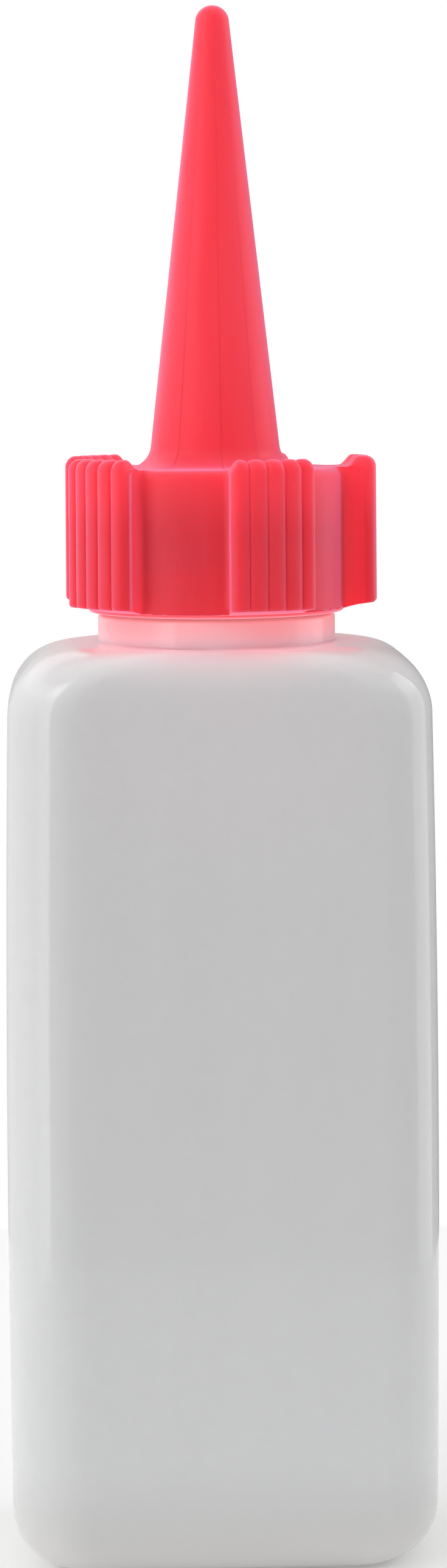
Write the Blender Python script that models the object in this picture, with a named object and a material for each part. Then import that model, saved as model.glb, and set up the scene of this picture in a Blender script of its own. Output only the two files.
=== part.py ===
"""Glue applicator bottle: a squeeze bottle, a screw cap with a long spout, and the washer between them.

Units are metres, +Z is up, and the bottle stands on z = 0 with its broad face towards -Y. The neck,
the washer and the cap share the Z axis, on which the cap turns and rises.
"""

from math import ceil, cos, pi, radians, sin, sqrt

import bmesh
import bpy
from mathutils import Vector

MM = 0.001

# Bottle body: a rounded rectangle in plan.
BODY_WIDTH = 43.2 * MM
BODY_DEPTH = 27.5 * MM
BODY_CORNER = 6.8 * MM
BODY_BULGE = 0.3 * MM
WALL = 1.0 * MM

BASE_HEIGHT = 6.2 * MM
BASE_INSET_X = 6.5 * MM
BASE_INSET_Y = 5.5 * MM
BASE_CORNER = 2.8 * MM
RIM_WIDTH = 2.0 * MM
RECESS_DEPTH = 1.0 * MM
RECESS_SLOPE = 1.6 * MM

SHOULDER_START = 84.8 * MM
SHOULDER_HEIGHT = 6.9 * MM
SHOULDER_INSET_X = 6.5 * MM
SHOULDER_INSET_Y = 1.35 * MM
SHOULDER_FRONT_START = 86.9 * MM
SHOULDER_CORNER = 12.2 * MM
SHOULDER_TOP = SHOULDER_START + SHOULDER_HEIGHT

# Neck: a plain collar, then the threaded finish up to the lip.
COLLAR_RADIUS = 12.1 * MM
COLLAR_FILLET = 0.25 * MM
COLLAR_START = SHOULDER_TOP + 0.5 * MM
COLLAR_TOP = 94.45 * MM
NECK_ROOT = 10.6 * MM
NECK_BORE = 9.6 * MM
LIP_TOP = 106.9 * MM
LIP_EDGE = 0.4 * MM

# Thread: one start, right-handed. The cap's ridge runs half a pitch below the neck's.
PITCH = 3.175 * MM
THREAD_TURNS = 1.6
THREAD_START = 98.2 * MM
THREAD_CREST_NECK = 11.6 * MM
THREAD_CREST_CAP = 11.0 * MM
THREAD_ROOT_HALF = 0.75 * MM
THREAD_CREST_HALF = 0.35 * MM
THREAD_BURY = 0.3 * MM
THREAD_FADE_TURNS = 0.12

# Cap: a skirt with five ribbed lugs round it, and the spout on top.
SKIRT_RADIUS = 13.1 * MM
SKIRT_BORE = 12.0 * MM
SKIRT_BOTTOM = 94.75 * MM
SKIRT_EDGE = 0.5 * MM
CAP_TOP = 109.4 * MM
CAP_TOP_EDGE = 1.0 * MM
CAP_CEILING = 108.3 * MM

LUG_COUNT = 5
LUG_RIBS = 5
RIB_ANGLE = radians(6.65)
LUG_FIRST_ANGLE = radians(-70.6)
LUG_RADIUS = 16.4 * MM
RIB_DEPTH = 0.45 * MM
LUG_CORNER_DEPTH = 1.2 * MM
LUG_ROOT = 12.6 * MM
LUG_BOTTOM = 95.65 * MM
LUG_BOTTOM_DROP = 0.8 * MM
LUG_HUMP = 1.1 * MM
LUG_HUMP_FOOT = 13.55 * MM

SPOUT_SLOPE = 0.112
SPOUT_REFERENCE_Z = 119.8 * MM
SPOUT_REFERENCE_RADIUS = 5.65 * MM
SPOUT_FILLET = 2.4 * MM
SPOUT_TOP = 156.55 * MM
SPOUT_TIP_RADIUS = 1.74 * MM
SPOUT_WALL = 1.05 * MM
SPOUT_BORE_END = 152.0 * MM

WASHER_BOTTOM = 107.2 * MM
WASHER_TOP = 108.0 * MM
WASHER_OUTER = 11.5 * MM
WASHER_INNER = 6.4 * MM

CORNER_STEPS = 8
LONG_SIDE_POINTS = 3
RING_POINTS = 4 * (CORNER_STEPS + 1) + 2 * LONG_SIDE_POINTS + 2
TURNED_STEPS = 50
THREAD_STEPS_PER_TURN = 40
ARC_STEPS = 5


def clear_scene():
    for existing in list(bpy.data.objects):
        bpy.data.objects.remove(existing, do_unlink=True)


def plastic(name, colour, roughness):
    material = bpy.data.materials.new(name)
    material.use_nodes = True
    shader = material.node_tree.nodes["Principled BSDF"]
    shader.inputs["Base Color"].default_value = (*colour, 1.0)
    shader.inputs["Roughness"].default_value = roughness
    shader.inputs["Metallic"].default_value = 0.0
    return material


def solid(name, vertices, faces, material=None):
    """An object from a closed mesh, with its faces turned outwards."""
    mesh = bpy.data.meshes.new(name)
    mesh.from_pydata(vertices, [], faces)
    shape = bmesh.new()
    shape.from_mesh(mesh)
    bmesh.ops.recalc_face_normals(shape, faces=shape.faces)
    shape.to_mesh(mesh)
    shape.free()
    made = bpy.data.objects.new(name, mesh)
    bpy.context.scene.collection.objects.link(made)
    if material:
        mesh.materials.append(material)
    return made


def joined_on(target, tool):
    """Unites a helper with the target, and keeps the helper out of the finished object."""
    tool.hide_render = True
    tool.display_type = "WIRE"
    union = target.modifiers.new(tool.name, "BOOLEAN")
    union.operation = "UNION"
    union.solver = "EXACT"
    union.object = tool


def smooth(made):
    made.data.shade_smooth()
    made.data.set_sharp_from_angle(angle=radians(35))


def quarter(steps=ARC_STEPS):
    """Angles from 0 to a right angle, both ends included."""
    return [0.5 * pi * step / steps for step in range(steps + 1)]


def eased(distance, radius):
    """Height of a rounded edge, from 0 on the edge to 1 one radius in from it."""
    short = max(0.0, 1 - distance / radius)
    return sqrt(max(0.0, 1 - short * short))


def rounded_rectangle(half_x, half_y, radius, z):
    """One ring of the body, counterclockwise from the +X side, always with RING_POINTS points."""
    points = []
    corners = ((1, 1), (-1, 1), (-1, -1), (1, -1))
    for index, (side_x, side_y) in enumerate(corners):
        centre = Vector((side_x * (half_x - radius), side_y * (half_y - radius), z))
        for step in range(CORNER_STEPS + 1):
            angle = 0.5 * pi * (index + step / CORNER_STEPS)
            points.append(centre + radius * Vector((cos(angle), sin(angle), 0)))
        along_x = index % 2 == 0
        between = LONG_SIDE_POINTS if along_x else 1
        half = (half_x if along_x else half_y) - radius
        for step in range(1, between + 1):
            shift = 2 * half * step / (between + 1)
            direction = Vector((-side_x, 0, 0)) if along_x else Vector((0, -side_y, 0))
            points.append(points_after(points, index) + direction * shift)
    return points


def points_after(points, index):
    """The last point of the corner that has just been laid down."""
    laid = (index + 1) * (CORNER_STEPS + 1) + (index + 1) // 2 * LONG_SIDE_POINTS + index // 2
    return points[laid - 1]


def circle(radius, z):
    """One ring of the neck, whose points line up with those of a rounded rectangle."""
    angles = (2 * pi * (index + 1) / RING_POINTS for index in range(RING_POINTS))
    return [Vector((radius * cos(angle), radius * sin(angle), z)) for angle in angles]


def loft(rings):
    """Vertices and faces of a skin over the rings, closed at the first and the last of them."""
    count = len(rings[0])
    vertices = [point for ring in rings for point in ring]
    faces = [tuple(reversed(range(count)))]
    for low in range(len(rings) - 1):
        for index in range(count):
            after = (index + 1) % count
            first = low * count
            second = first + count
            faces.append((first + index, first + after, second + after, second + index))
    faces.append(tuple(range((len(rings) - 1) * count, len(rings) * count)))
    return vertices, faces


def body_ring(z, inset=0.0):
    """The wall at height z. It swells a little towards the middle of its height."""
    middle = 0.5 * (BASE_HEIGHT + SHOULDER_START)
    reach = 0.5 * (SHOULDER_START - BASE_HEIGHT)
    swell = BODY_BULGE * (1 - ((z - middle) / reach) ** 2) - inset
    half_x = 0.5 * BODY_WIDTH - BODY_BULGE + swell
    half_y = 0.5 * BODY_DEPTH + swell
    return rounded_rectangle(half_x, half_y, BODY_CORNER - inset, z)


def base_rings(inset):
    """The rounded foot, from the standing rim up to the wall."""
    rings = []
    half_x = 0.5 * BODY_WIDTH - BODY_BULGE - inset
    half_y = 0.5 * BODY_DEPTH - inset
    height = BASE_HEIGHT - inset
    for angle in quarter():
        tucked = 1 - sin(angle)
        corner = BODY_CORNER - inset - (BODY_CORNER - BASE_CORNER) * tucked
        z = inset + height * (1 - cos(angle))
        ring = rounded_rectangle(half_x - BASE_INSET_X * tucked, half_y - BASE_INSET_Y * tucked, corner, z)
        rings.append(ring)
    return rings


def recess_rings(inset):
    """The pushed-up middle of the base, from its plate out to the standing rim."""
    rim_x = 0.5 * BODY_WIDTH - BODY_BULGE - inset - BASE_INSET_X - RIM_WIDTH
    rim_y = 0.5 * BODY_DEPTH - inset - BASE_INSET_Y - RIM_WIDTH
    corner = BASE_CORNER - 0.5 * RIM_WIDTH - 0.5 * inset
    plate = rounded_rectangle(
        rim_x - RECESS_SLOPE, rim_y - RECESS_SLOPE, 0.5 * corner, inset + RECESS_DEPTH
    )
    rim = rounded_rectangle(rim_x, rim_y, corner, inset)
    return [plate, rim]


def shoulder_rings(inset):
    """The rounded shoulder, up to the foot of the neck. It starts lower on the ends than on the front."""
    rings = []
    front_reach = SHOULDER_TOP - inset - SHOULDER_FRONT_START
    half_x = 0.5 * BODY_WIDTH - BODY_BULGE - inset
    half_y = 0.5 * BODY_DEPTH - inset
    for angle in quarter():
        tucked = 1 - cos(angle)
        corner = BODY_CORNER - inset + (SHOULDER_CORNER - BODY_CORNER) * tucked
        z = SHOULDER_START + (SHOULDER_HEIGHT - inset) * sin(angle)
        front_tucked = 1 - eased(front_reach - max(0.0, z - SHOULDER_FRONT_START), front_reach)
        wide = half_x - SHOULDER_INSET_X * tucked
        deep = half_y - SHOULDER_INSET_Y * front_tucked
        rings.append(rounded_rectangle(wide, deep, corner, z))
    return rings


def wall_rings(inset):
    """The straight part of the wall, without the rings that the base and shoulder bring."""
    span = SHOULDER_START - BASE_HEIGHT
    return [body_ring(BASE_HEIGHT + span * part / 4, inset) for part in (1, 2, 3)]


def neck_outside():
    return [
        circle(COLLAR_RADIUS + COLLAR_FILLET, SHOULDER_TOP + 0.2 * MM),
        circle(COLLAR_RADIUS + 0.3 * COLLAR_FILLET, COLLAR_START),
        circle(COLLAR_RADIUS, COLLAR_START + COLLAR_FILLET),
        circle(COLLAR_RADIUS, COLLAR_TOP - COLLAR_FILLET),
        circle(COLLAR_RADIUS - 0.3 * COLLAR_FILLET, COLLAR_TOP - 0.3 * COLLAR_FILLET),
        circle(COLLAR_RADIUS - COLLAR_FILLET, COLLAR_TOP),
        circle(NECK_ROOT, COLLAR_TOP + 1.0 * MM),
        circle(NECK_ROOT, LIP_TOP - LIP_EDGE),
        circle(NECK_ROOT - LIP_EDGE, LIP_TOP),
    ]


def neck_inside():
    collar_bore = COLLAR_RADIUS - WALL
    return [
        circle(NECK_BORE, LIP_TOP),
        circle(NECK_BORE, COLLAR_TOP + 2.0 * MM),
        circle(collar_bore, COLLAR_TOP - 0.2 * MM),
        circle(collar_bore, SHOULDER_TOP - 0.2 * MM),
    ]


def helix_ridge(name, start_z, root, crest):
    """A ridge of the thread, as a closed solid. It fades into the wall at both ends."""
    inward = 1 if crest > root else -1
    steps = ceil(THREAD_TURNS * THREAD_STEPS_PER_TURN)
    sections = []
    for step in range(steps + 1):
        turns = THREAD_TURNS * step / steps
        to_end = min(turns, THREAD_TURNS - turns)
        full = min(1.0, to_end / THREAD_FADE_TURNS)
        reach = root + (crest - root) * full - inward * THREAD_BURY * 0.5 * (1 - full)
        buried = root - inward * THREAD_BURY
        angle = 2 * pi * turns
        middle = start_z + PITCH * turns
        outline = (
            (buried, -THREAD_ROOT_HALF),
            (reach, -THREAD_CREST_HALF),
            (reach, THREAD_CREST_HALF),
            (buried, THREAD_ROOT_HALF),
        )
        sections.append([(r * cos(angle), r * sin(angle), middle + dz) for r, dz in outline])
    return solid(name, *loft(sections))


def make_bottle():
    outside = recess_rings(0.0) + base_rings(0.0) + wall_rings(0.0) + shoulder_rings(0.0)
    inside = recess_rings(WALL) + base_rings(WALL) + wall_rings(WALL) + shoulder_rings(WALL)
    rings = outside + neck_outside() + neck_inside() + inside[::-1]
    material = plastic("translucent_polyethylene", (0.80, 0.80, 0.79), 0.35)
    bottle = solid("bottle", *loft(rings), material)
    ridge = helix_ridge("neck_thread", THREAD_START, NECK_ROOT, THREAD_CREST_NECK)
    joined_on(bottle, ridge)
    smooth(bottle)
    return bottle


def spout_radius(z):
    """Outer radius of the spout's cone at height z."""
    return SPOUT_REFERENCE_RADIUS + SPOUT_SLOPE * (SPOUT_REFERENCE_Z - z)


def spout_outside():
    """Profile of the spout from the cap's top, through the fillet, up the cone and over the tip."""
    lean = sqrt(1 + SPOUT_SLOPE**2)
    centre_z = CAP_TOP + SPOUT_FILLET
    tangent_z = centre_z - SPOUT_FILLET * SPOUT_SLOPE / lean
    centre_r = spout_radius(tangent_z) + SPOUT_FILLET / lean
    profile = []
    for angle in quarter():
        part = angle * (1 - SPOUT_SLOPE * 2 / pi)
        profile.append((centre_r - SPOUT_FILLET * sin(part), centre_z - SPOUT_FILLET * cos(part)))
    tip_z = SPOUT_TOP - SPOUT_TIP_RADIUS
    for angle in quarter():
        tip_r = SPOUT_TIP_RADIUS * cos(angle)
        profile.append((tip_r, tip_z + SPOUT_TIP_RADIUS * sin(angle)))
    return profile


def cap_profile():
    """Half section of the cap without its lugs, from the bore's closed end round to the tip."""
    bore_start = CAP_TOP + SPOUT_FILLET
    bore_foot = spout_radius(bore_start) - SPOUT_WALL
    bore_end = spout_radius(SPOUT_BORE_END) - SPOUT_WALL
    top_edge_r = SKIRT_RADIUS - CAP_TOP_EDGE
    top_edge_z = CAP_TOP - CAP_TOP_EDGE
    profile = [
        (0.0, SPOUT_BORE_END + 0.5 * bore_end),
        (0.6 * bore_end, SPOUT_BORE_END + 0.4 * bore_end),
        (bore_end, SPOUT_BORE_END),
        (bore_foot, bore_start),
        (bore_foot + 0.3 * MM, CAP_CEILING),
        (SKIRT_BORE, CAP_CEILING),
        (SKIRT_BORE, SKIRT_BOTTOM + SKIRT_EDGE),
        (SKIRT_BORE + 0.6 * SKIRT_EDGE, SKIRT_BOTTOM),
        (SKIRT_RADIUS - SKIRT_EDGE, SKIRT_BOTTOM),
        (SKIRT_RADIUS - 0.3 * SKIRT_EDGE, SKIRT_BOTTOM + 0.3 * SKIRT_EDGE),
        (SKIRT_RADIUS, SKIRT_BOTTOM + SKIRT_EDGE),
    ]
    for angle in quarter(3):
        profile.append((top_edge_r + CAP_TOP_EDGE * cos(angle), top_edge_z + CAP_TOP_EDGE * sin(angle)))
    return profile + spout_outside()


def turned(name, profile, material=None):
    """A solid turned about Z. The profile starts and ends on the axis, or is a closed loop."""
    shape = bmesh.new()
    points = [shape.verts.new((r, 0, z)) for r, z in profile]
    edges = [shape.edges.new(pair) for pair in zip(points, points[1:])]
    if profile[0][0] > 0:
        edges.append(shape.edges.new((points[-1], points[0])))
    bmesh.ops.spin(
        shape, geom=points + edges, cent=(0, 0, 0), axis=(0, 0, 1), angle=2 * pi, steps=TURNED_STEPS
    )
    bmesh.ops.remove_doubles(shape, verts=shape.verts, dist=0.001 * MM)
    bmesh.ops.recalc_face_normals(shape, faces=shape.faces)
    mesh = bpy.data.meshes.new(name)
    shape.to_mesh(mesh)
    shape.free()
    made = bpy.data.objects.new(name, mesh)
    bpy.context.scene.collection.objects.link(made)
    if material:
        mesh.materials.append(material)
    return made


def lug_column(angle, across, outer, side_distance):
    """Closed loop of one lug in the half plane at this angle, from its root round to its root."""
    hump = LUG_HUMP * eased(side_distance, LUG_HUMP)
    crest_out = outer - LUG_HUMP
    crest_in = min(LUG_HUMP_FOOT + LUG_HUMP, crest_out)
    loop = []
    for r in (LUG_ROOT, 0.5 * (LUG_ROOT + outer), outer - 0.25 * MM):
        drop = LUG_BOTTOM_DROP * ((LUG_RADIUS - r) / (LUG_RADIUS - LUG_ROOT)) ** 2
        loop.append((r, LUG_BOTTOM - drop))
    loop.append((outer, LUG_BOTTOM + 0.25 * MM))
    for turn in quarter(3):
        loop.append((crest_out + LUG_HUMP * cos(turn), CAP_TOP + hump * sin(turn)))
    for turn in quarter(3):
        loop.append((crest_in - LUG_HUMP * sin(turn), CAP_TOP + hump * cos(turn)))
    loop.append((LUG_ROOT, CAP_TOP))
    direction = Vector((cos(angle + across), sin(angle + across), 0))
    return [direction * r + Vector((0, 0, z)) for r, z in loop]


def lug_columns(angle):
    """Loops across one lug. Each rib is a round ridge, and the outer two turn into the lug's sides."""
    columns = []
    half_span = 0.5 * LUG_RIBS * RIB_ANGLE
    steps_per_rib = 4
    steps = LUG_RIBS * steps_per_rib
    places = [2 * half_span * step / steps - half_span for step in range(steps + 1)]
    near_side = 0.15 * RIB_ANGLE
    places.insert(1, near_side - half_span)
    places.insert(-1, half_span - near_side)
    for across in places:
        phase = (across + half_span) / RIB_ANGLE % 1.0
        valley = 1 - eased(min(phase, 1 - phase), 0.5)
        to_side = half_span - abs(across)
        depth = LUG_CORNER_DEPTH if to_side < 0.5 * RIB_ANGLE else RIB_DEPTH
        columns.append(lug_column(angle, across, LUG_RADIUS - depth * valley, to_side * LUG_RADIUS))
    return columns


def make_lugs():
    """All the lugs as one helper of separate closed solids."""
    vertices = []
    faces = []
    for index in range(LUG_COUNT):
        lug_vertices, lug_faces = loft(lug_columns(LUG_FIRST_ANGLE + 2 * pi * index / LUG_COUNT))
        start = len(vertices)
        vertices += lug_vertices
        faces += [tuple(start + corner for corner in face) for face in lug_faces]
    return solid("cap_lugs", vertices, faces)


def make_spout_cap():
    material = plastic("pink_polyethylene", (0.95, 0.06, 0.09), 0.32)
    cap = turned("spout_cap", cap_profile(), material)
    joined_on(cap, make_lugs())
    ridge = helix_ridge("cap_thread", THREAD_START - 0.5 * PITCH, SKIRT_BORE, THREAD_CREST_CAP)
    joined_on(cap, ridge)
    smooth(cap)
    return cap


def make_washer():
    profile = [
        (WASHER_INNER, WASHER_BOTTOM),
        (WASHER_OUTER, WASHER_BOTTOM),
        (WASHER_OUTER, WASHER_TOP),
        (WASHER_INNER, WASHER_TOP),
    ]
    material = plastic("white_foam", (0.86, 0.86, 0.84), 0.85)
    washer = turned("sealing_washer", profile, material)
    smooth(washer)
    return washer


def main():
    clear_scene()
    make_bottle()
    make_spout_cap()
    make_washer()


main()
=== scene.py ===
"""Looks of the glue applicator bottle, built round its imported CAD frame.

Units are metres and +Z is up. The neck, washer and cap share the Z axis. The broad front faces -Y.
"""

from math import cos, pi, radians, sin, sqrt

import bmesh
import bpy
from mathutils import Matrix, Vector


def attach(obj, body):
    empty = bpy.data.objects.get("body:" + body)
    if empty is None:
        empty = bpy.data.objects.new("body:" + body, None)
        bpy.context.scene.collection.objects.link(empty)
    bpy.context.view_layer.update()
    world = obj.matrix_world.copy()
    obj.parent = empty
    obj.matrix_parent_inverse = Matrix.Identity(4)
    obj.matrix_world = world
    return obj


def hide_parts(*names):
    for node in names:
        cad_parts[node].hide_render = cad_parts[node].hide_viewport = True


MM = 0.001

# Bottle body: a rounded rectangle in plan.
BODY_WIDTH = 43.2 * MM
BODY_DEPTH = 27.5 * MM
BODY_CORNER = 6.8 * MM
BODY_BULGE = 0.3 * MM
WALL = 1.0 * MM

BASE_HEIGHT = 6.2 * MM
BASE_INSET_X = 6.5 * MM
BASE_INSET_Y = 5.5 * MM
BASE_CORNER = 2.8 * MM
RIM_WIDTH = 2.0 * MM
RECESS_DEPTH = 1.0 * MM
RECESS_SLOPE = 1.6 * MM

SHOULDER_START = 84.8 * MM
SHOULDER_HEIGHT = 6.9 * MM
SHOULDER_INSET_X = 6.5 * MM
SHOULDER_INSET_Y = 1.35 * MM
SHOULDER_FRONT_START = 86.9 * MM
SHOULDER_CORNER = 12.2 * MM
SHOULDER_TOP = SHOULDER_START + SHOULDER_HEIGHT
BODY_ROWS = 16
EDGE_ROWS = 18
SHOULDER_ROWS = 20
RECESS_ROWS = 8

# Fine lines that moulding leaves on the bottle.
PARTING_HALF = 0.22 * MM
PARTING_HEIGHT = 0.05 * MM
PINCH_HALF_X = 11.0 * MM
PINCH_HALF_Y = 0.45 * MM
PINCH_HEIGHT = 0.4 * MM

COLLAR_RADIUS = 12.1 * MM
COLLAR_FILLET = 0.25 * MM
COLLAR_FOOT = SHOULDER_TOP + 0.05 * MM
COLLAR_TOP = 94.45 * MM
NECK_ROOT = 10.6 * MM
NECK_FILLET_OUT = 0.3 * MM
NECK_FILLET_UP = 0.35 * MM
NECK_WALL_START = COLLAR_TOP + 1.0 * MM
NECK_BORE = 9.6 * MM
BORE_EDGE = 0.15 * MM
BORE_NARROW = COLLAR_TOP + 2.0 * MM
BORE_HALFWAY = COLLAR_TOP + 1.0 * MM
BORE_WIDE = COLLAR_TOP - 0.2 * MM
BORE_FOOT = SHOULDER_TOP - 0.2 * MM
LIP_TOP = 106.9 * MM
LIP_EDGE = 0.4 * MM

PITCH = 3.175 * MM
THREAD_TURNS = 1.6
THREAD_START = 98.2 * MM
THREAD_CREST_NECK = 11.6 * MM
THREAD_CREST_CAP = 11.0 * MM
THREAD_ROOT_HALF = 0.75 * MM
THREAD_CREST_HALF = 0.35 * MM
THREAD_FADE_TURNS = 0.12

SKIRT_RADIUS = 13.1 * MM
SKIRT_BORE = 12.0 * MM
SKIRT_BOTTOM = 94.75 * MM
SKIRT_EDGE = 0.5 * MM
SKIRT_INNER_EDGE = 0.3 * MM
CAP_TOP = 109.4 * MM
CAP_TOP_EDGE = 1.0 * MM
CAP_CEILING = 108.3 * MM
CAP_THREAD_BOTTOM = SKIRT_BOTTOM + 0.6 * MM
CAP_THREAD_TOP = CAP_CEILING - 0.3 * MM
CEILING_EDGE = 0.3 * MM

LUG_COUNT = 5
LUG_RIBS = 5
RIB_ANGLE = radians(6.65)
LUG_FIRST_ANGLE = radians(-70.6)
LUG_RADIUS = 16.4 * MM
RIB_DEPTH = 0.45 * MM
RIB_HUMP_DIP = 0.35
LUG_CORNER_DEPTH = 1.2 * MM
LUG_CORNER_STEP = 0.10 * MM
LUG_ROOT = 12.6 * MM
LUG_BOTTOM = 95.65 * MM
LUG_BOTTOM_DROP = 0.8 * MM
LUG_BOTTOM_EDGE = 0.35 * MM
LUG_HUMP = 1.1 * MM
LUG_HUMP_FOOT = 13.55 * MM
LUG_SIDE_EDGE = 0.5 * MM
LUG_FOOT_FILLET = 0.7 * MM
# Where the wall has little depth, its lower edge blends up into the plain skirt.
PLAIN_FADE = 1.6
PLAIN_RISE = 0.6 * MM
PLAIN_EDGE_RISE = 0.3 * MM
# How far the top slopes in from its outer edge before it is flat.
TOP_SLOPE = 0.8 * MM
TOP_SLOPE_LEAST = 0.5 * MM
HUMP_FOOT_BACK = 0.1 * MM
CREST_GAP = 0.05 * MM
HUMP_RUN_OUT = 0.2 * MM

SPOUT_SLOPE = 0.112
SPOUT_REFERENCE_Z = 119.8 * MM
SPOUT_REFERENCE_RADIUS = 5.65 * MM
SPOUT_FILLET = 2.4 * MM
SPOUT_TOP = 156.55 * MM
SPOUT_TIP_RADIUS = 1.74 * MM
SPOUT_WALL = 1.05 * MM
SPOUT_BORE_END = 152.0 * MM
BORE_FLARE_START = (0.3 * MM, 0.4 * MM)
BORE_FLARE_OUT = 0.7 * MM
# The last ring at a closed end is this small, and one face closes it.
TIP_POLE = 0.03 * MM
BORE_POLE = 0.05 * MM

WASHER_BOTTOM = 107.2 * MM
WASHER_TOP = 108.0 * MM
WASHER_OUTER = 11.5 * MM
WASHER_INNER = 6.4 * MM
WASHER_EDGE = 0.12 * MM
WASHER_SIDES = 96

CORNER_STEPS = 18
LONG_SIDE_POINTS = 11
SIDE_PLACES = (-0.6, -0.25, 0.25, 0.6)
THREAD_ROW = 0.16 * MM
RIB_STEPS = 10

# Bottle material. Spans are heights or distances from the axis, in millimetres.
BOTTLE_MILK = (0.83, 0.83, 0.83)
BOTTLE_STREAK = (0.86, 0.86, 0.855)
BOTTLE_CLOUD = (0.89, 0.89, 0.882)
# Painted shade: the bottle's colour is darkened towards the floor.
BOTTLE_BASE_SHADE = (0.705, 0.695, 0.68)
# Painted light: a pink cast of the cap's light on the collar and shoulder.
BOTTLE_CAP_LIGHT_TINT = (0.92, 0.45, 0.50)
BOTTLE_ROUGHNESS = (0.05, 0.09)
BOTTLE_WAVE_HEIGHT = 0.06 * MM
BOTTLE_GRAIN_HEIGHT = 0.0004 * MM
BASE_SHADE_HEIGHTS = (4.0, 13.0)
CAP_LIGHT_TINT_HEIGHTS = (88.0, 93.0)
CAP_LIGHT_TINT_REACH = (17.0, 12.3)
CAP_COVER_HEIGHTS = (94.6, 97.0)
# Painted glow: emission on the collar and shoulder standing for the cap's light carried down into them.
SHOULDER_GLOW = (1.0, 0.68, 0.78)
SHOULDER_GLOW_STRENGTH = 0.14
COLLAR_GLOW = (1.0, 0.26, 0.26)
COLLAR_GLOW_STRENGTH = 0.34
COLLAR_HEIGHTS = (91.5, 93.5)
GLOW_HEIGHTS = (87.0, 92.0)
GLOW_REACH = (21.0, 12.3)
MATT_HEIGHTS = (88.5, 90.5)
MATT_REACH = (19.0, 16.0)
SHOULDER_EXTRA_ROUGHNESS = 0.11

# Cap material.
CAP_PINK = (0.82, 0.038, 0.056)
CAP_FLOW = (0.86, 0.048, 0.070)
CAP_SPECK = (0.89, 0.064, 0.096)
CAP_ROUGHNESS = (0.30, 0.40)
CAP_WAVE_HEIGHT = 0.03 * MM
CAP_GRAIN_HEIGHT = 0.0015 * MM
CAP_GLOW = (1.0, 0.055, 0.085)
LIP_GLOW = (1.0, 0.42, 0.45)
LIP_GLOW_STRENGTH = 0.6
LIP_HEIGHTS = (95.7, 94.9)
GRIP_GLOW_STRENGTH = 0.2
GRIP_FOOT_REACH = (13.1, 13.6)
GRIP_FACE_REACH = (15.2, 15.7)
SPOUT_GLOW_STRENGTH = 0.18
SPOUT_GLOW_HEIGHTS = (102.5, 109.0)

# Washer material.
FOAM_DARK = (0.80, 0.80, 0.77)
FOAM_LIGHT = (0.88, 0.88, 0.86)
# Painted shade: the colour in the pits of the foam's bump.
FOAM_PIT_SHADE = (0.62, 0.61, 0.58)
FOAM_PIT_DEPTH = 0.05 * MM
FOAM_ROUGHNESS = (0.72, 0.9)

# Surrounding light by direction, in degrees round the object: 0 is behind it, -90 its left, 90 its right.
# Spans are heights of the direction, from -1 straight down to 1 straight up.
FRONT_LIGHT = 0.45
TOP_LIGHT = 0.95
LOW_LIGHT = 0.80
HIGH_GAIN = 2.0
LOW_SPAN = (-0.22, -0.36)
GAIN_SPAN = (0.30, 0.45)
HIGH_SPAN = (0.45, 1.0)
BOX_TOP_SPAN = (0.66, 0.70)
ABOVE_BOX_GAIN = 0.25
STUDIO_LEVELS = (
    (-137, FRONT_LIGHT),
    (-135.5, 2.4),
    (-124, 2.1),
    (-108, 1.1),
    (-70, 0.8),
    (-40, 0.8),
    (-10, 0.6),
    (20, 0.25),
    (58, 0.25),
    (59.5, 1.35),
    (97, 1.35),
    (98.5, FRONT_LIGHT),
)

FLOOR_RADIUS = 130 * MM
FLOOR_WHITE = (0.80, 0.80, 0.80, 1.0)
FLOOR_GLOW = 0.16

CAMERA_PLACE = (-15.5 * MM, -350 * MM, 119.5 * MM)
CAMERA_TARGET = (0, 0, 119.5 * MM)
CAMERA_ROLL = -0.0075
CAMERA_LENS = 78.75
CAMERA_SENSOR = 36.0
CAMERA_SHIFT = (0.0057, -0.2653)
CAMERA_CLIP = (0.01, 100.0)


def steps(count, end=1.0):
    """Evenly spaced values from 0 to the end, both included."""
    return [end * step / count for step in range(count + 1)]


def mix(low, high, part):
    return low + (high - low) * part


def eased(distance, radius):
    """Height of a rounded edge, from 0 on the edge to 1 one radius in from it."""
    short = max(0.0, 1 - distance / radius)
    return sqrt(max(0.0, 1 - short * short))


def softened(part):
    part = min(1.0, max(0.0, part))
    return part * part * (3 - 2 * part)


def smooth_piece(name, vertices, faces, material):
    mesh = bpy.data.meshes.new(name)
    mesh.from_pydata(vertices, [], faces)
    shape = bmesh.new()
    shape.from_mesh(mesh)
    bmesh.ops.recalc_face_normals(shape, faces=shape.faces)
    shape.to_mesh(mesh)
    shape.free()
    mesh.shade_smooth()
    mesh.materials.append(material)
    made = bpy.data.objects.new(name, mesh)
    bpy.context.scene.collection.objects.link(made)
    return made


def skin(name, rings, material):
    """A closed mesh over the rings, with a face over the first and the last of them."""
    count = len(rings[0])
    vertices = [tuple(point) for ring in rings for point in ring]
    faces = [tuple(reversed(range(count)))]
    for low in range(len(rings) - 1):
        for index in range(count):
            after = (index + 1) % count
            first = low * count
            second = first + count
            faces.append((first + index, first + after, second + after, second + index))
    faces.append(tuple(range((len(rings) - 1) * count, len(rings) * count)))
    return smooth_piece(name, vertices, faces, material)


# ---------------------------------------------------------------- thread


def thread_height(angle, z, start_z):
    """How full the ridge is at a place on the wall: 0 off the thread, 1 on its crest."""
    fullest = 0.0
    for whole in range(-1, 3):
        turns = angle / (2 * pi) % 1.0 + whole
        to_end = min(turns, THREAD_TURNS - turns)
        if to_end <= 0:
            continue
        fade = softened(to_end / THREAD_FADE_TURNS)
        distance = abs(z - start_z - PITCH * turns)
        flank = (THREAD_ROOT_HALF - distance) / (THREAD_ROOT_HALF - THREAD_CREST_HALF)
        fullest = max(fullest, fade * softened(flank))
    return fullest


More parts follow.
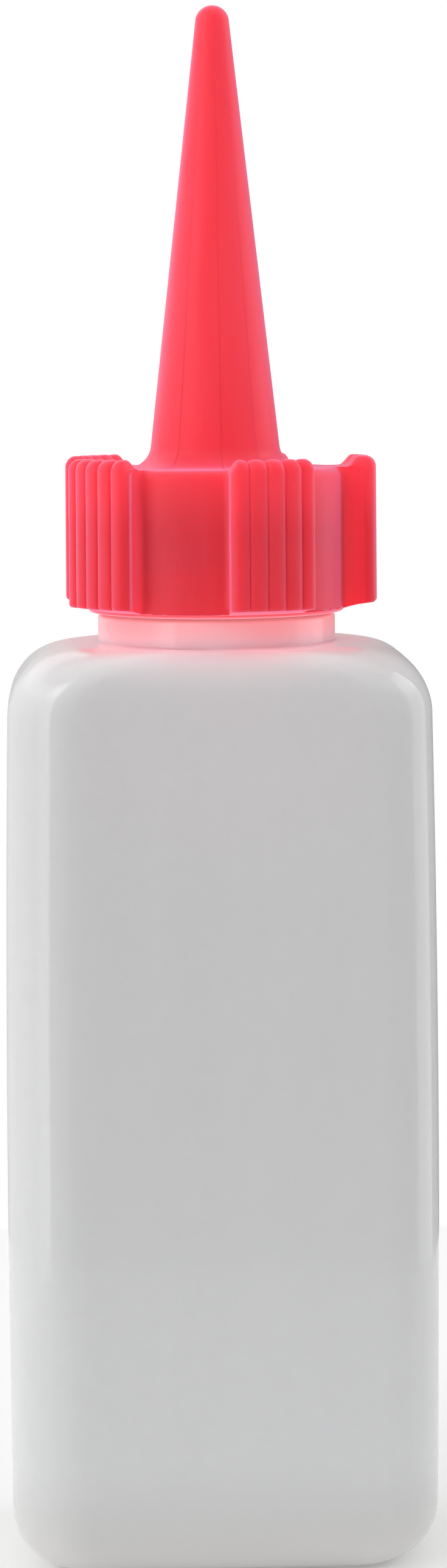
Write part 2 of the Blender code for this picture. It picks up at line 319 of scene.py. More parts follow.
def threaded_rings(angles, low_z, high_z, root, crest, start_z):
    rings = []
    for z in (mix(low_z, high_z, part) for part in steps(round((high_z - low_z) / THREAD_ROW))):
        ring = []
        for angle in angles:
            radius = mix(root, crest, thread_height(angle, z, start_z))
            ring.append((radius * cos(angle), radius * sin(angle), z))
        rings.append(ring)
    return rings


# ---------------------------------------------------------------- bottle


def side_shifts(half, along_x):
    """Places of the points between two corners, from one corner's end to the other's."""
    if along_x:
        return [half * (2 * part - 1) for part in steps(LONG_SIDE_POINTS + 1)[1:-1]]
    outer = [half * place for place in SIDE_PLACES]
    close = min(0.2 * half, PARTING_HALF)
    return outer[:2] + [-close, 0.0, close] + outer[2:]


def rounded_rectangle(half_x, half_y, radius, z, ridge=0.0):
    """One ring of the body, counterclockwise from the +X side. A ridge lifts the middle of the ends."""
    points = []
    corners = ((1, 1), (-1, 1), (-1, -1), (1, -1))
    for index, (side_x, side_y) in enumerate(corners):
        centre_x = side_x * (half_x - radius)
        centre_y = side_y * (half_y - radius)
        for part in steps(CORNER_STEPS):
            angle = 0.5 * pi * (index + part)
            points.append((centre_x + radius * cos(angle), centre_y + radius * sin(angle), z))
        if index % 2 == 0:
            for shift in side_shifts(half_x - radius, True):
                points.append((-side_x * shift, side_y * half_y, z))
        else:
            for shift in side_shifts(half_y - radius, False):
                lift = ridge if shift == 0 else 0.0
                points.append((side_x * (half_x + lift), -side_y * shift, z))
    return points


def ring_angles():
    count = len(rounded_rectangle(BODY_WIDTH, BODY_DEPTH, BODY_CORNER, 0.0))
    return [2 * pi * (index + 1) / count for index in range(count)]


def circle(radius, z, angles):
    return [(radius * cos(angle), radius * sin(angle), z) for angle in angles]


def body_ring(z, inset=0.0, ridge=0.0):
    middle = 0.5 * (BASE_HEIGHT + SHOULDER_START)
    reach = 0.5 * (SHOULDER_START - BASE_HEIGHT)
    swell = BODY_BULGE * (1 - ((z - middle) / reach) ** 2) - inset
    half_x = 0.5 * BODY_WIDTH - BODY_BULGE + swell
    half_y = 0.5 * BODY_DEPTH + swell
    return rounded_rectangle(half_x, half_y, BODY_CORNER - inset, z, ridge)


def base_rings(inset, ridge=0.0):
    rings = []
    half_x = 0.5 * BODY_WIDTH - BODY_BULGE - inset
    half_y = 0.5 * BODY_DEPTH - inset
    height = BASE_HEIGHT - inset
    for angle in steps(EDGE_ROWS, 0.5 * pi):
        tucked = 1 - sin(angle)
        corner = BODY_CORNER - inset - (BODY_CORNER - BASE_CORNER) * tucked
        z = inset + height * (1 - cos(angle))
        wide = half_x - BASE_INSET_X * tucked
        deep = half_y - BASE_INSET_Y * tucked
        rings.append(rounded_rectangle(wide, deep, corner, z, ridge * (1 - tucked)))
    return rings


def recess_rings(inset):
    """The pushed-up middle of the base, from the pinched line on its plate out to the standing rim."""
    rim_x = 0.5 * BODY_WIDTH - BODY_BULGE - inset - BASE_INSET_X - RIM_WIDTH
    rim_y = 0.5 * BODY_DEPTH - inset - BASE_INSET_Y - RIM_WIDTH
    corner = BASE_CORNER - 0.5 * RIM_WIDTH - 0.5 * inset
    rings = []
    pinch = (1.0, 0.9, 0.0) if inset == 0 else (0.0,)
    for part in pinch:
        half_x = PINCH_HALF_X + PINCH_HALF_Y * (1 - part)
        half_y = PINCH_HALF_Y * (1.6 - part)
        rings.append(
            rounded_rectangle(
                half_x, half_y, 0.8 * half_y, inset + RECESS_DEPTH - PINCH_HEIGHT * part
            )
        )
    for part in steps(RECESS_ROWS):
        slope = softened(part)
        half_x = rim_x - RECESS_SLOPE * (1 - part)
        half_y = rim_y - RECESS_SLOPE * (1 - part)
        z = inset + RECESS_DEPTH * (1 - slope)
        rings.append(rounded_rectangle(half_x, half_y, corner * mix(0.6, 1.0, part), z))
    return rings


def shoulder_rings(inset, ridge=0.0):
    rings = []
    front_reach = SHOULDER_TOP - inset - SHOULDER_FRONT_START
    half_x = 0.5 * BODY_WIDTH - BODY_BULGE - inset
    half_y = 0.5 * BODY_DEPTH - inset
    for angle in steps(SHOULDER_ROWS, 0.5 * pi):
        tucked = 1 - cos(angle)
        corner = BODY_CORNER - inset + (SHOULDER_CORNER - BODY_CORNER) * tucked
        z = SHOULDER_START + (SHOULDER_HEIGHT - inset) * sin(angle)
        front_tucked = 1 - eased(front_reach - max(0.0, z - SHOULDER_FRONT_START), front_reach)
        wide = half_x - SHOULDER_INSET_X * tucked
        deep = half_y - SHOULDER_INSET_Y * front_tucked
        rings.append(rounded_rectangle(wide, deep, corner, z, ridge * (1 - tucked)))
    return rings


def wall_rings(inset, ridge=0.0):
    span = SHOULDER_START - BASE_HEIGHT
    return [body_ring(BASE_HEIGHT + span * part, inset, ridge) for part in steps(BODY_ROWS)[1:-1]]


def neck_outside(angles):
    rings = []
    for part in steps(5, 0.5 * pi):
        radius = COLLAR_RADIUS + COLLAR_FILLET * (1 - sin(part))
        z = COLLAR_FOOT + COLLAR_FILLET * (1 - cos(part))
        rings.append(circle(radius, z, angles))
    for part in steps(4, 0.5 * pi):
        radius = COLLAR_RADIUS - COLLAR_FILLET * (1 - cos(part))
        rings.append(circle(radius, COLLAR_TOP - COLLAR_FILLET * (1 - sin(part)), angles))
    rings.append(circle(NECK_ROOT + NECK_FILLET_OUT, COLLAR_TOP + NECK_FILLET_UP, angles))
    rings += threaded_rings(
        angles, NECK_WALL_START, LIP_TOP - LIP_EDGE, NECK_ROOT, THREAD_CREST_NECK, THREAD_START
    )
    for part in steps(4, 0.5 * pi)[1:]:
        radius = NECK_ROOT - LIP_EDGE * (1 - cos(part))
        rings.append(circle(radius, LIP_TOP - LIP_EDGE * (1 - sin(part)), angles))
    return rings


def neck_inside(angles):
    collar_bore = COLLAR_RADIUS - WALL
    return [
        circle(NECK_BORE + BORE_EDGE, LIP_TOP, angles),
        circle(NECK_BORE, LIP_TOP - BORE_EDGE, angles),
        circle(NECK_BORE, BORE_NARROW, angles),
        circle(mix(NECK_BORE, collar_bore, 0.5), BORE_HALFWAY, angles),
        circle(collar_bore, BORE_WIDE, angles),
        circle(collar_bore, BORE_FOOT, angles),
    ]


def make_bottle(material):
    angles = ring_angles()
    outside = recess_rings(0.0) + base_rings(0.0, PARTING_HEIGHT)
    outside += wall_rings(0.0, PARTING_HEIGHT) + shoulder_rings(0.0, PARTING_HEIGHT)
    inside = recess_rings(WALL) + base_rings(WALL) + wall_rings(WALL) + shoulder_rings(WALL)
    rings = outside + neck_outside(angles) + neck_inside(angles) + inside[::-1]
    return skin("squeeze_bottle", rings, material)


# ---------------------------------------------------------------- cap and spout


def spout_radius(z):
    return SPOUT_REFERENCE_RADIUS + SPOUT_SLOPE * (SPOUT_REFERENCE_Z - z)


def spout_outside():
    """Profile from the foot of the fillet, up the cone and over the tip."""
    lean = sqrt(1 + SPOUT_SLOPE**2)
    centre_z = CAP_TOP + SPOUT_FILLET
    tangent_z = centre_z - SPOUT_FILLET * SPOUT_SLOPE / lean
    centre_r = spout_radius(tangent_z) + SPOUT_FILLET / lean
    profile = []
    for angle in steps(12, 0.5 * pi - SPOUT_SLOPE):
        profile.append((centre_r - SPOUT_FILLET * sin(angle), centre_z - SPOUT_FILLET * cos(angle)))
    tip_z = SPOUT_TOP - SPOUT_TIP_RADIUS
    foot_r, foot_z = profile[-1]
    for part in steps(22)[1:]:
        profile.append((mix(foot_r, SPOUT_TIP_RADIUS, part), mix(foot_z, tip_z, part)))
    for angle in steps(9, 0.5 * pi)[1:]:
        tip_r = max(TIP_POLE, SPOUT_TIP_RADIUS * cos(angle))
        profile.append((tip_r, tip_z + SPOUT_TIP_RADIUS * sin(angle)))
    return profile


def bore_profile():
    """Profile of the spout's bore and the cap's ceiling, from the closed end down to the thread."""
    bore_start = CAP_TOP + SPOUT_FILLET
    bore_foot = spout_radius(bore_start) - SPOUT_WALL
    bore_end = spout_radius(SPOUT_BORE_END) - SPOUT_WALL
    profile = [
        (BORE_POLE, SPOUT_BORE_END + 0.5 * bore_end),
        (0.6 * bore_end, SPOUT_BORE_END + 0.4 * bore_end),
    ]
    for part in steps(6):
        profile.append((mix(bore_end, bore_foot, part), mix(SPOUT_BORE_END, bore_start, part)))
    profile += [
        (bore_foot + BORE_FLARE_START[0], CAP_CEILING + BORE_FLARE_START[1]),
        (bore_foot + BORE_FLARE_OUT, CAP_CEILING),
        (SKIRT_BORE - CEILING_EDGE, CAP_CEILING),
    ]
    return profile


def lug_side():
    """Columns up one side of a lug, from the skirt through a fillet: angle from the side, and radius."""
    reach = LUG_RADIUS - LUG_CORNER_DEPTH - SKIRT_RADIUS
    fillet = LUG_FOOT_FILLET
    step = LUG_CORNER_STEP / LUG_RADIUS
    columns = []
    for turn in steps(6, 0.5 * pi):
        away = -fillet * (1 - sin(turn)) / SKIRT_RADIUS
        columns.append((away + step, SKIRT_RADIUS + fillet * (1 - cos(turn))))
    for part in steps(3)[1:]:
        columns.append((step, SKIRT_RADIUS + mix(fillet, reach, part)))
    return columns


def rib_columns():
    """Columns over the ribs of one lug: angle from its first side, and radius."""
    columns = []
    for rib in range(LUG_RIBS):
        for turn in steps(RIB_STEPS, pi):
            outer_half = (rib == 0 and turn < 0.5 * pi) or (rib == LUG_RIBS - 1 and turn > 0.5 * pi)
            depth = LUG_CORNER_DEPTH if outer_half else RIB_DEPTH
            if rib and turn == 0:
                continue
            across = RIB_ANGLE * (rib + 0.5 * (1 - cos(turn)))
            columns.append((across, LUG_RADIUS - depth * (1 - sin(turn))))
    return columns


def outline():
    """Columns of the cap, counterclockwise: each an angle, a radius and how full a rib's hump is."""
    columns = []
    span = LUG_RIBS * RIB_ANGLE
    plain = 2 * pi / LUG_COUNT - span
    side = lug_side()
    for index in range(LUG_COUNT):
        start = LUG_FIRST_ANGLE + 2 * pi * index / LUG_COUNT - 0.5 * span
        end = start + span
        columns += [(start + away, radius, 0.0) for away, radius in side]
        for across, radius in rib_columns():
            to_side = min(across, span - across) * LUG_RADIUS
            valley = (LUG_RADIUS - radius) / RIB_DEPTH
            dip = 1 - RIB_HUMP_DIP * min(1.0, valley)
            columns.append((start + across, radius, dip * eased(to_side, LUG_HUMP)))
        columns += [(end - away, radius, 0.0) for away, radius in side[::-1]]
        first = -side[0][0]
        gap = plain - 2 * first
        for part in steps(14)[1:-1]:
            columns.append((end + first + gap * part, SKIRT_RADIUS, 0.0))
    return columns


def wall_underside(radius, depth, full):
    """Profile from the skirt's lip out under the wall and round its lower edge."""
    plain = 1 - softened(full * PLAIN_FADE)
    edge = min(LUG_BOTTOM_EDGE, 0.4 * depth)
    under = radius - edge
    profile = [(SKIRT_RADIUS, SKIRT_BOTTOM + 0.8 * SKIRT_EDGE)]
    for part in steps(6)[1:]:
        r = mix(SKIRT_RADIUS, under, part)
        drop = LUG_BOTTOM_DROP * ((LUG_RADIUS - r) / (LUG_RADIUS - LUG_ROOT)) ** 2
        profile.append((r, LUG_BOTTOM - drop + plain * part * PLAIN_RISE))
    low = profile[-1][1]
    for turn in steps(4, 0.5 * pi)[1:]:
        rise = edge * (1 - cos(turn)) + plain * turn * PLAIN_EDGE_RISE
        profile.append((under + edge * sin(turn), low + rise))
    return profile


def wall_crest(radius, bottom, full, humped):
    """Profile up the wall and over its rounded upper edge."""
    side = LUG_SIDE_EDGE * (1 - humped)
    centre_z = mix(CAP_TOP - CAP_TOP_EDGE, CAP_TOP - side, full)
    up = mix(CAP_TOP_EDGE, side + LUG_HUMP * humped, full)
    across = mix(CAP_TOP_EDGE, LUG_HUMP, full)
    profile = [(radius, mix(bottom, centre_z, part)) for part in steps(7)[1:]]
    for turn in steps(8, 0.5 * pi)[1:]:
        profile.append((radius - across * (1 - cos(turn)), centre_z + up * sin(turn)))
    return profile


def wall_top(crest_r, crest_z, full):
    """Profile from the crest down to the cap's flat top and in towards the spout."""
    foot_r = mix(crest_r - TOP_SLOPE, LUG_HUMP_FOOT - HUMP_FOOT_BACK, full)
    foot_r = min(foot_r, crest_r - TOP_SLOPE_LEAST)
    start_r = min(crest_r - CREST_GAP, foot_r + LUG_HUMP + HUMP_RUN_OUT)
    profile = []
    for part in steps(8):
        profile.append((mix(start_r, foot_r, part), mix(crest_z, CAP_TOP, softened(part))))
    plane_r = spout_outside()[0][0]
    for part in steps(4)[1:-1]:
        profile.append((mix(foot_r, plane_r, part), CAP_TOP))
    return profile


def wall_column(radius, humped):
    """Profile of the cap's outer wall at one column, from the lip up and over to the top's plane."""
    depth = radius - SKIRT_RADIUS
    full = min(1.0, depth / (LUG_RADIUS - LUG_CORNER_DEPTH - SKIRT_RADIUS))
    profile = wall_underside(radius, depth, full)
    profile += wall_crest(radius, profile[-1][1], full, humped)
    return profile + wall_top(*profile[-1], full)


def lip_profile():
    """The skirt's rounded lower edge, from the bore out to the wall."""
    profile = []
    for turn in steps(4, 0.5 * pi):
        radius = SKIRT_BORE + SKIRT_INNER_EDGE * (1 - cos(turn))
        profile.append((radius, SKIRT_BOTTOM + SKIRT_INNER_EDGE * (1 - sin(turn))))
    for turn in steps(5, 0.5 * pi)[:-1]:
        radius = SKIRT_RADIUS - SKIRT_EDGE * (1 - sin(turn))
        profile.append((radius, SKIRT_BOTTOM + SKIRT_EDGE * (1 - cos(turn))))
    return profile


def make_spout_cap(material):
    columns = outline()
    angles = [angle for angle, _, _ in columns]
    rings = [circle(r, z, angles) for r, z in bore_profile()]
    thread = threaded_rings(
        angles,
        CAP_THREAD_BOTTOM,
        CAP_THREAD_TOP,
        SKIRT_BORE,
        THREAD_CREST_CAP,
        THREAD_START - 0.5 * PITCH,
    )
    rings += thread[::-1]
    rings += [circle(r, z, angles) for r, z in lip_profile()]
    walls = [wall_column(radius, humped) for _, radius, humped in columns]
    for row in range(len(walls[0])):
        ring = []
        for angle, wall in zip(angles, walls):
            r, z = wall[row]
            ring.append((r * cos(angle), r * sin(angle), z))
        rings.append(ring)
    rings += [circle(r, z, angles) for r, z in spout_outside()]
    return skin("ribbed_spout_cap", rings, material)


def make_washer(material):
    angles = steps(WASHER_SIDES, 2 * pi)[:-1]
    edge = WASHER_EDGE
    profile = []
    corners = (
        (WASHER_INNER + edge, WASHER_BOTTOM + edge, pi),
        (WASHER_OUTER - edge, WASHER_BOTTOM + edge, 1.5 * pi),
        (WASHER_OUTER - edge, WASHER_TOP - edge, 2 * pi),
        (WASHER_INNER + edge, WASHER_TOP - edge, 2.5 * pi),
    )
    for centre_r, centre_z, first in corners:
        for turn in steps(4, 0.5 * pi):
            profile.append((centre_r + edge * cos(first + turn), centre_z + edge * sin(first + turn)))
    count = len(angles)
    rows = len(profile)
    vertices = [point for r, z in profile for point in circle(r, z, angles)]
    faces = []
    for row in range(rows):
        above = (row + 1) % rows
        for index in range(count):
            after = (index + 1) % count
            first = row * count
            second = above * count
            faces.append((first + index, first + after, second + after, second + index))
    return smooth_piece("foam_washer", vertices, faces, material)


# ---------------------------------------------------------------- materials
#
# Heights and distances from the axis are in millimetres here, and colours are linear.


def add(tree, kind, settings=None, **sockets):
    """A node with its settings made and its sockets linked or given values."""
    made = tree.nodes.new(kind)
    for name, value in (settings or {}).items():
        setattr(made, name, value)
    for name, value in sockets.items():
        put(tree, value, made.inputs[name.replace("_", " ")])
    return made


def put(tree, value, socket):
    """Link a socket's value into another socket, or set a plain value on it."""
    if isinstance(value, bpy.types.NodeSocket):
        tree.links.new(value, socket)
    else:
        socket.default_value = value


def noise(tree, where, scale, detail=3.0, roughness=0.5, stretch=(1, 1, 1)):
    """Noise whose features are about 1 / scale millimetres in size."""
    spread = add(tree, "ShaderNodeMapping", Vector=where, Scale=stretch).outputs["Vector"]
    made = add(
        tree, "ShaderNodeTexNoise", Vector=spread, Scale=scale, Detail=detail, Roughness=roughness
    )
    return made.outputs["Fac"]


def ranged(tree, value, low, high, to_low, to_high):
    """A value eased from one range to another, and held at its ends."""
    made = add(
        tree,
        "ShaderNodeMapRange",
        {"interpolation_type": "SMOOTHSTEP"},
        Value=value,
        From_Min=low,
        From_Max=high,
        To_Min=to_low,
        To_Max=to_high,
    )
    return made.outputs["Result"]


def combined(tree, operation, first, second):
    """Two numbers, each a number or a socket, put together by one operation."""
    made = add(tree, "ShaderNodeMath", {"operation": operation})
    put(tree, first, made.inputs[0])
    put(tree, second, made.inputs[1])
    return made.outputs[0]


def product(tree, first, second):
    return combined(tree, "MULTIPLY", first, second)


def blended(tree, factor, first, second):
    """Colour between two others, either of them a colour or a socket."""
    made = add(tree, "ShaderNodeMix", {"data_type": "RGBA"})
    put(tree, factor, made.inputs[0])
    for place, colour in ((6, first), (7, second)):
        put(tree, (*colour, 1.0) if isinstance(colour, tuple) else colour, made.inputs[place])
    return made.outputs[2]


def millimetres(tree):
    place = tree.nodes.new("ShaderNodeTexCoord").outputs["Object"]
    scaled = add(tree, "ShaderNodeVectorMath", {"operation": "SCALE"}, Vector=place, Scale=1 / MM)
    return scaled.outputs["Vector"]


def height_of(tree, place):
    return add(tree, "ShaderNodeSeparateXYZ", Vector=place).outputs["Z"]


def from_axis(tree, place):
    """Distance from the neck's axis."""
    flat = add(tree, "ShaderNodeVectorMath", {"operation": "MULTIPLY"}, Vector=place)
    flat.inputs[1].default_value = (1.0, 1.0, 0.0)
    length = add(
        tree, "ShaderNodeVectorMath", {"operation": "LENGTH"}, Vector=flat.outputs["Vector"]
    )
    return length.outputs["Value"]


def bumped(tree, height, distance, normal=None):
    made = add(tree, "ShaderNodeBump", Height=height, Distance=distance, Strength=1.0)
    if normal:
        tree.links.new(normal, made.inputs["Normal"])
    return made.outputs["Normal"]


def new_material(name):
    material = bpy.data.materials.new(name)
    material.use_nodes = True
    tree = material.node_tree
    return material, tree, tree.nodes["Principled BSDF"]


def bottle_colour(tree, place, height, reach, under_cap):
    """Milky, with faint streaks and clouds, darkened towards the base by painted shade, and given a
    painted pink cast of the cap's light round the neck.
    """
    streaks = noise(tree, place, scale=0.09, detail=4.0, roughness=0.55, stretch=(1.0, 1.0, 0.18))
    cloud = noise(tree, place, scale=0.6, detail=5.0, roughness=0.6)
    streaked = blended(tree, ranged(tree, streaks, 0.3, 0.7, 0.0, 1.0), BOTTLE_MILK, BOTTLE_STREAK)
    clouded = blended(tree, ranged(tree, cloud, 0.35, 0.75, 0.0, 0.25), streaked, BOTTLE_CLOUD)
    # Painted shade: darker towards the floor.
    base_shaded = blended(tree, ranged(tree, height, *BASE_SHADE_HEIGHTS, 1.0, 0.0), clouded, BOTTLE_BASE_SHADE)
    # Painted light: the cap's pink light on the collar and shoulder, painted into the colour.
    rising = ranged(tree, height, *CAP_LIGHT_TINT_HEIGHTS, 0.0, 1.0)
    round_neck = ranged(tree, reach, *CAP_LIGHT_TINT_REACH, 0.0, 1.0)
    cap_light_tint = product(tree, product(tree, rising, under_cap), round_neck)
    return blended(tree, cap_light_tint, base_shaded, BOTTLE_CAP_LIGHT_TINT)


def bottle_glow(tree, height, reach, under_cap):
    """Colour and strength of a painted glow on the collar and the shoulder, standing for the light that
    the cap sends down into them.
    """
    collar = ranged(tree, height, *COLLAR_HEIGHTS, 0.0, 1.0)
    colour = blended(tree, collar, SHOULDER_GLOW, COLLAR_GLOW)
    carried = product(tree, ranged(tree, height, *GLOW_HEIGHTS, 0.0, 1.0), under_cap)
    spread = ranged(tree, reach, *GLOW_REACH, 0.0, 1.0)
    most = ranged(tree, height, *COLLAR_HEIGHTS, SHOULDER_GLOW_STRENGTH, COLLAR_GLOW_STRENGTH)
    return colour, product(tree, product(tree, carried, spread), most)


def bottle_plastic():
    """Natural squeeze-bottle polyethylene: milky and glossy, with a faint blown waviness.

    Round the neck its colour is painted with a pink cast and it glows faintly: painted light standing for
    light that has passed through the cap.
    """
    material, tree, shader = new_material("bottle_plastic")
    place = millimetres(tree)
    height = height_of(tree, place)
    reach = from_axis(tree, place)
    under_cap = ranged(tree, height, *CAP_COVER_HEIGHTS, 1.0, 0.0)
    colour = bottle_colour(tree, place, height, reach, under_cap)
    glow, strength = bottle_glow(tree, height, reach, under_cap)

    fine = noise(tree, place, scale=3.0, detail=4.0, roughness=0.6)
    gloss = ranged(tree, fine, 0.3, 0.7, *BOTTLE_ROUGHNESS)
    matt = product(
        tree,
        ranged(tree, reach, *MATT_REACH, 0.0, SHOULDER_EXTRA_ROUGHNESS),
        ranged(tree, height, *MATT_HEIGHTS, 0.0, 1.0),
    )
    swell = noise(tree, place, scale=0.10, detail=2.0, roughness=0.5, stretch=(1.0, 1.0, 0.3))
    waves = bumped(tree, swell, BOTTLE_WAVE_HEIGHT)

    tree.links.new(colour, shader.inputs["Base Color"])
    tree.links.new(glow, shader.inputs["Emission Color"])
    tree.links.new(strength, shader.inputs["Emission Strength"])
    tree.links.new(combined(tree, "ADD", gloss, matt), shader.inputs["Roughness"])
    tree.links.new(bumped(tree, fine, BOTTLE_GRAIN_HEIGHT, waves), shader.inputs["Normal"])
    shader.inputs["Subsurface Weight"].default_value = 1.0
    shader.inputs["Subsurface Radius"].default_value = (1.0, 0.97, 0.94)
    shader.inputs["Subsurface Scale"].default_value = 4.2 * MM
    return material


def cap_glow(tree, height, reach):
    """Colour and strength of the light carried through the lip, the grips' sides and the spout."""
    normal = tree.nodes.new("ShaderNodeTexCoord").outputs["Normal"]
    facing_down = ranged(tree, height_of(tree, normal), -0.1, -0.9, 0.0, 1.0)
    lip = product(tree, facing_down, ranged(tree, height, *LIP_HEIGHTS, 0.0, 1.0))
    grip_side = product(
        tree,
        ranged(tree, reach, *GRIP_FOOT_REACH, 0.0, GRIP_GLOW_STRENGTH),
        ranged(tree, reach, *GRIP_FACE_REACH, 1.0, 0.0),
    )
    spout = ranged(tree, height, *SPOUT_GLOW_HEIGHTS, 0.0, SPOUT_GLOW_STRENGTH)
    carried = combined(tree, "MAXIMUM", spout, grip_side)
    colour = blended(tree, lip, CAP_GLOW, LIP_GLOW)
    return colour, combined(tree, "ADD", product(tree, lip, LIP_GLOW_STRENGTH), carried)


def cap_plastic():
    """Pink-red injection-moulded polyethylene: saturated, waxy, softly glossy.

    A weak glow of its own colour stands for light carried through its thin and lit parts.
    """
    material, tree, shader = new_material("cap_plastic")
    place = millimetres(tree)
    glow, strength = cap_glow(tree, height_of(tree, place), from_axis(tree, place))

    flow = noise(tree, place, scale=0.35, detail=4.0, roughness=0.55, stretch=(1.0, 1.0, 0.15))
    speck = noise(tree, place, scale=2.2, detail=5.0, roughness=0.65)
    body = blended(tree, ranged(tree, flow, 0.3, 0.7, 0.0, 1.0), CAP_PINK, CAP_FLOW)
    colour = blended(tree, ranged(tree, speck, 0.55, 0.8, 0.0, 0.3), body, CAP_SPECK)
    fine = noise(tree, place, scale=5.0, detail=4.0, roughness=0.6)
    waves = bumped(tree, flow, CAP_WAVE_HEIGHT)

    tree.links.new(colour, shader.inputs["Base Color"])
    tree.links.new(glow, shader.inputs["Emission Color"])
    tree.links.new(strength, shader.inputs["Emission Strength"])
    tree.links.new(ranged(tree, fine, 0.3, 0.7, *CAP_ROUGHNESS), shader.inputs["Roughness"])
    tree.links.new(bumped(tree, fine, CAP_GRAIN_HEIGHT, waves), shader.inputs["Normal"])
    shader.inputs["Subsurface Weight"].default_value = 1.0
    shader.inputs["Subsurface Radius"].default_value = (1.0, 0.25, 0.35)
    shader.inputs["Subsurface Scale"].default_value = 3.0 * MM
    shader.inputs["Specular IOR Level"].default_value = 0.15
    shader.inputs["Sheen Weight"].default_value = 0.75
    shader.inputs["Sheen Roughness"].default_value = 0.5
    shader.inputs["Sheen Tint"].default_value = (1.0, 0.50, 0.88, 1.0)
    return material


def foam():
    """Closed-cell sealing foam: off-white and matt, pitted with small cells whose pits are darkened by
    painted shade.
    """
    material, tree, shader = new_material("washer_foam")
    place = millimetres(tree)
    cells = add(
        tree, "ShaderNodeTexVoronoi", {"feature": "SMOOTH_F1"}, Vector=place, Scale=3.5
    ).outputs["Distance"]
    grain = noise(tree, place, scale=1.2, detail=4.0, roughness=0.6)
    body = blended(tree, grain, FOAM_DARK, FOAM_LIGHT)
    # Painted shade in the pits.
    pitted = blended(tree, ranged(tree, cells, 0.45, 0.75, 0.0, 0.35), body, FOAM_PIT_SHADE)
    tree.links.new(pitted, shader.inputs["Base Color"])
    tree.links.new(ranged(tree, cells, 0.2, 0.7, *FOAM_ROUGHNESS), shader.inputs["Roughness"])
    tree.links.new(bumped(tree, cells, -FOAM_PIT_DEPTH), shader.inputs["Normal"])
    return material


# ---------------------------------------------------------------- stage, light, camera


def make_floor():
    """A plain, pale disc under the object, small enough not to show in the body's reflections."""
    material, tree, shader = new_material("pale_floor")
    shader.inputs["Base Color"].default_value = FLOOR_WHITE
    shader.inputs["Emission Color"].default_value = (1.0, 1.0, 1.0, 1.0)
    shader.inputs["Emission Strength"].default_value = FLOOR_GLOW
    shader.inputs["Roughness"].default_value = 0.9
    shader.inputs["Specular IOR Level"].default_value = 0.1
    mesh = bpy.data.meshes.new("pale_floor")
    shape = bmesh.new()
    bmesh.ops.create_circle(shape, cap_ends=True, cap_tris=False, segments=96, radius=FLOOR_RADIUS)
    shape.to_mesh(mesh)
    shape.free()
    mesh.materials.append(material)
    floor = bpy.data.objects.new("pale_floor", mesh)
    bpy.context.scene.collection.objects.link(floor)


def studio_brightness(tree):
    """Brightness of the surrounding light: a dim front, a bright left, a softer right, and a light top."""
    way = tree.nodes.new("ShaderNodeTexCoord").outputs["Generated"]
    parts = add(tree, "ShaderNodeSeparateXYZ", Vector=way).outputs
    place = add(
        tree,
        "ShaderNodeMapRange",
        Value=combined(tree, "ARCTAN2", parts["X"], parts["Y"]),
        From_Min=-pi,
        From_Max=pi,
        To_Min=0.0,
        To_Max=1.0,
    ).outputs["Result"]
    ramp = add(tree, "ShaderNodeValToRGB", Fac=place)
    ramp.color_ramp.interpolation = "EASE"
    elements = ramp.color_ramp.elements
    for end, position in zip(elements, (0.0, 1.0)):
        end.position = position
        end.color = (FRONT_LIGHT,) * 3 + (1.0,)
    for degrees, level in STUDIO_LEVELS:
        made = elements.new((degrees + 180) / 360)
        made.color = (level, level, level, 1.0)
    gain = ranged(tree, parts["Z"], *GAIN_SPAN, 1.0, HIGH_GAIN)
    boxed = product(tree, gain, ranged(tree, parts["Z"], *BOX_TOP_SPAN, 1.0, ABOVE_BOX_GAIN))
    raised = add(tree, "ShaderNodeVectorMath", {"operation": "SCALE"}, Scale=boxed)
    tree.links.new(ramp.outputs["Color"], raised.inputs[0])
    low = ranged(tree, parts["Z"], *LOW_SPAN, 0.0, 1.0)
    sides = blended(tree, low, raised.outputs["Vector"], (LOW_LIGHT,) * 3)
    high = ranged(tree, parts["Z"], *HIGH_SPAN, 0.0, 1.0)
    return blended(tree, high, sides, (TOP_LIGHT,) * 3)


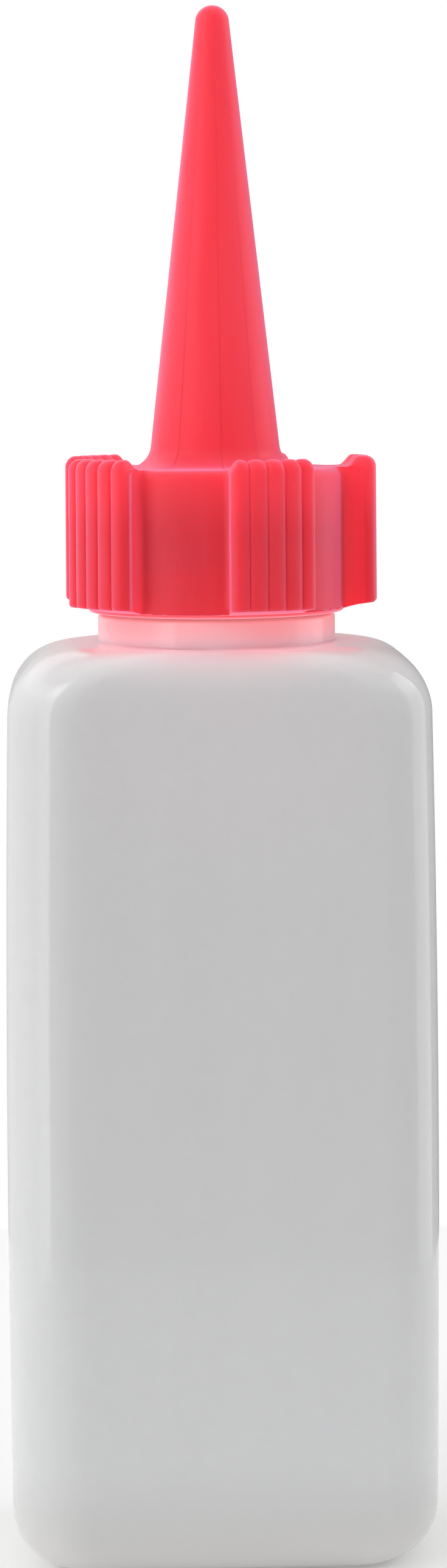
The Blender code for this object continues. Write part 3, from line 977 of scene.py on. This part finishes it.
def make_world():
    """Plain white to look at, and a soft studio to be lit by."""
    world = bpy.data.worlds.new("white_studio")
    world.use_nodes = True
    tree = world.node_tree
    tree.nodes.clear()
    light = add(tree, "ShaderNodeBackground", Color=studio_brightness(tree), Strength=1.0)
    seen = add(tree, "ShaderNodeBackground", Color=(1, 1, 1, 1), Strength=1.0)
    path = tree.nodes.new("ShaderNodeLightPath")
    both = tree.nodes.new("ShaderNodeMixShader")
    tree.links.new(path.outputs["Is Camera Ray"], both.inputs[0])
    tree.links.new(light.outputs[0], both.inputs[1])
    tree.links.new(seen.outputs[0], both.inputs[2])
    output = tree.nodes.new("ShaderNodeOutputWorld")
    tree.links.new(both.outputs[0], output.inputs["Surface"])
    bpy.context.scene.world = world


def make_camera():
    data = bpy.data.cameras.new("camera")
    data.sensor_fit = "AUTO"
    data.sensor_width = CAMERA_SENSOR
    data.lens = CAMERA_LENS
    data.shift_x, data.shift_y = CAMERA_SHIFT
    data.clip_start, data.clip_end = CAMERA_CLIP
    camera = bpy.data.objects.new("camera", data)
    camera.location = CAMERA_PLACE
    bpy.context.scene.collection.objects.link(camera)
    direction = Vector(CAMERA_TARGET) - camera.location
    roll = Matrix.Rotation(CAMERA_ROLL, 4, "Z").to_quaternion()
    camera.rotation_mode = "QUATERNION"
    camera.rotation_quaternion = direction.to_track_quat("-Z", "Y") @ roll
    bpy.context.scene.camera = camera


def ride(piece, body, node):
    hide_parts(node)
    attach(piece, body)


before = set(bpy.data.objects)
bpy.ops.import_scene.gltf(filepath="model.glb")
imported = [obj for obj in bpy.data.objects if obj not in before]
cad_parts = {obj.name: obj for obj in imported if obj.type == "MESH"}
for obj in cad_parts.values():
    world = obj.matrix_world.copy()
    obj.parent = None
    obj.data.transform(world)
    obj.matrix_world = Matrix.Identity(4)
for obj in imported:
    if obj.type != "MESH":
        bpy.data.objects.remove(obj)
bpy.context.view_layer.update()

ride(make_bottle(bottle_plastic()), "bottle", "bottle")
ride(make_spout_cap(cap_plastic()), "spout_cap", "spout_cap")
ride(make_washer(foam()), "washer", "sealing_washer")

make_floor()
make_world()
make_camera()
bpy.context.scene.view_settings.view_transform = "Standard"
